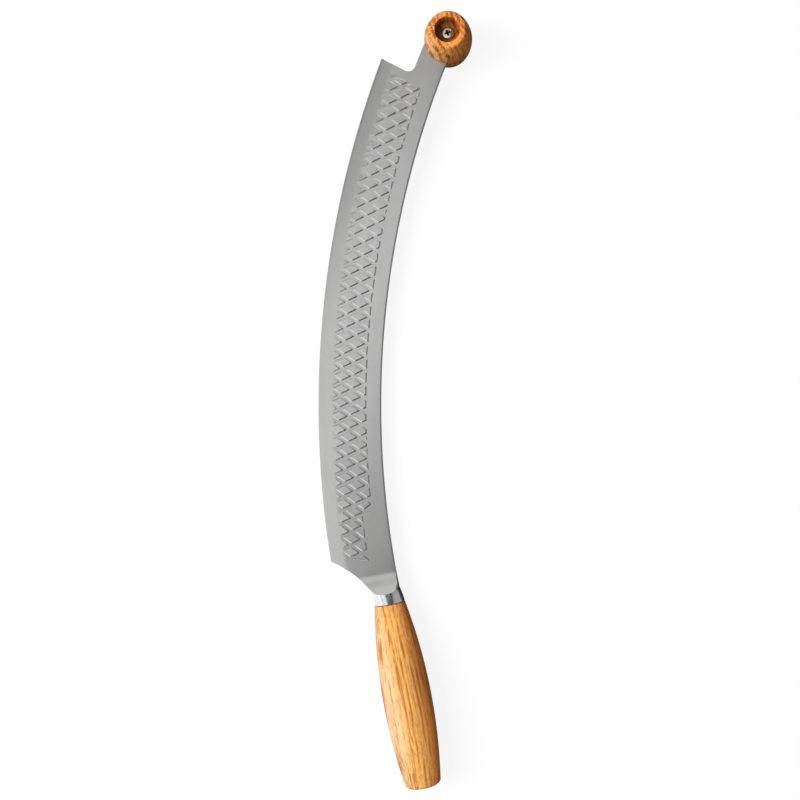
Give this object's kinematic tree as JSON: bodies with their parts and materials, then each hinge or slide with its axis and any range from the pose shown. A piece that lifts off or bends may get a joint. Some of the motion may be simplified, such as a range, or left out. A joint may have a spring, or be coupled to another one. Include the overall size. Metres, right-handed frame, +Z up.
{
  "type": "rocking pizza and cheese knife",
  "caption": "Curved rocking knife for pizza and cheese: diamond-embossed steel blade, polished collar, turned oak handle and an oak knob screwed onto the tip.",
  "frame": {"origin": "middle of the knife's bounding box in plan, at the height of the table that it lies on", "axes": "+X along the knife from the handle to the knob, +Y from the spine side towards the cutting edge, +Z up, with the knife lying on its handle, cutting edge and knob"},
  "size_m": [0.5084, 0.1064, 0.0468],
  "materials": {
    "blade": "satin, fine grain along the blade",
    "bolster": "polished steel",
    "handle": "oiled oak, grain along the handle",
    "knob": "oiled oak, end grain on the two faces",
    "knob_screw": "bright plated"
  },
  "bodies": {
    "root": {"blade": "blade", "bolster": "bolster", "handle": "handle", "knob": "knob", "knob_screw": "knob_screw"}
  },
  "joints": []
}
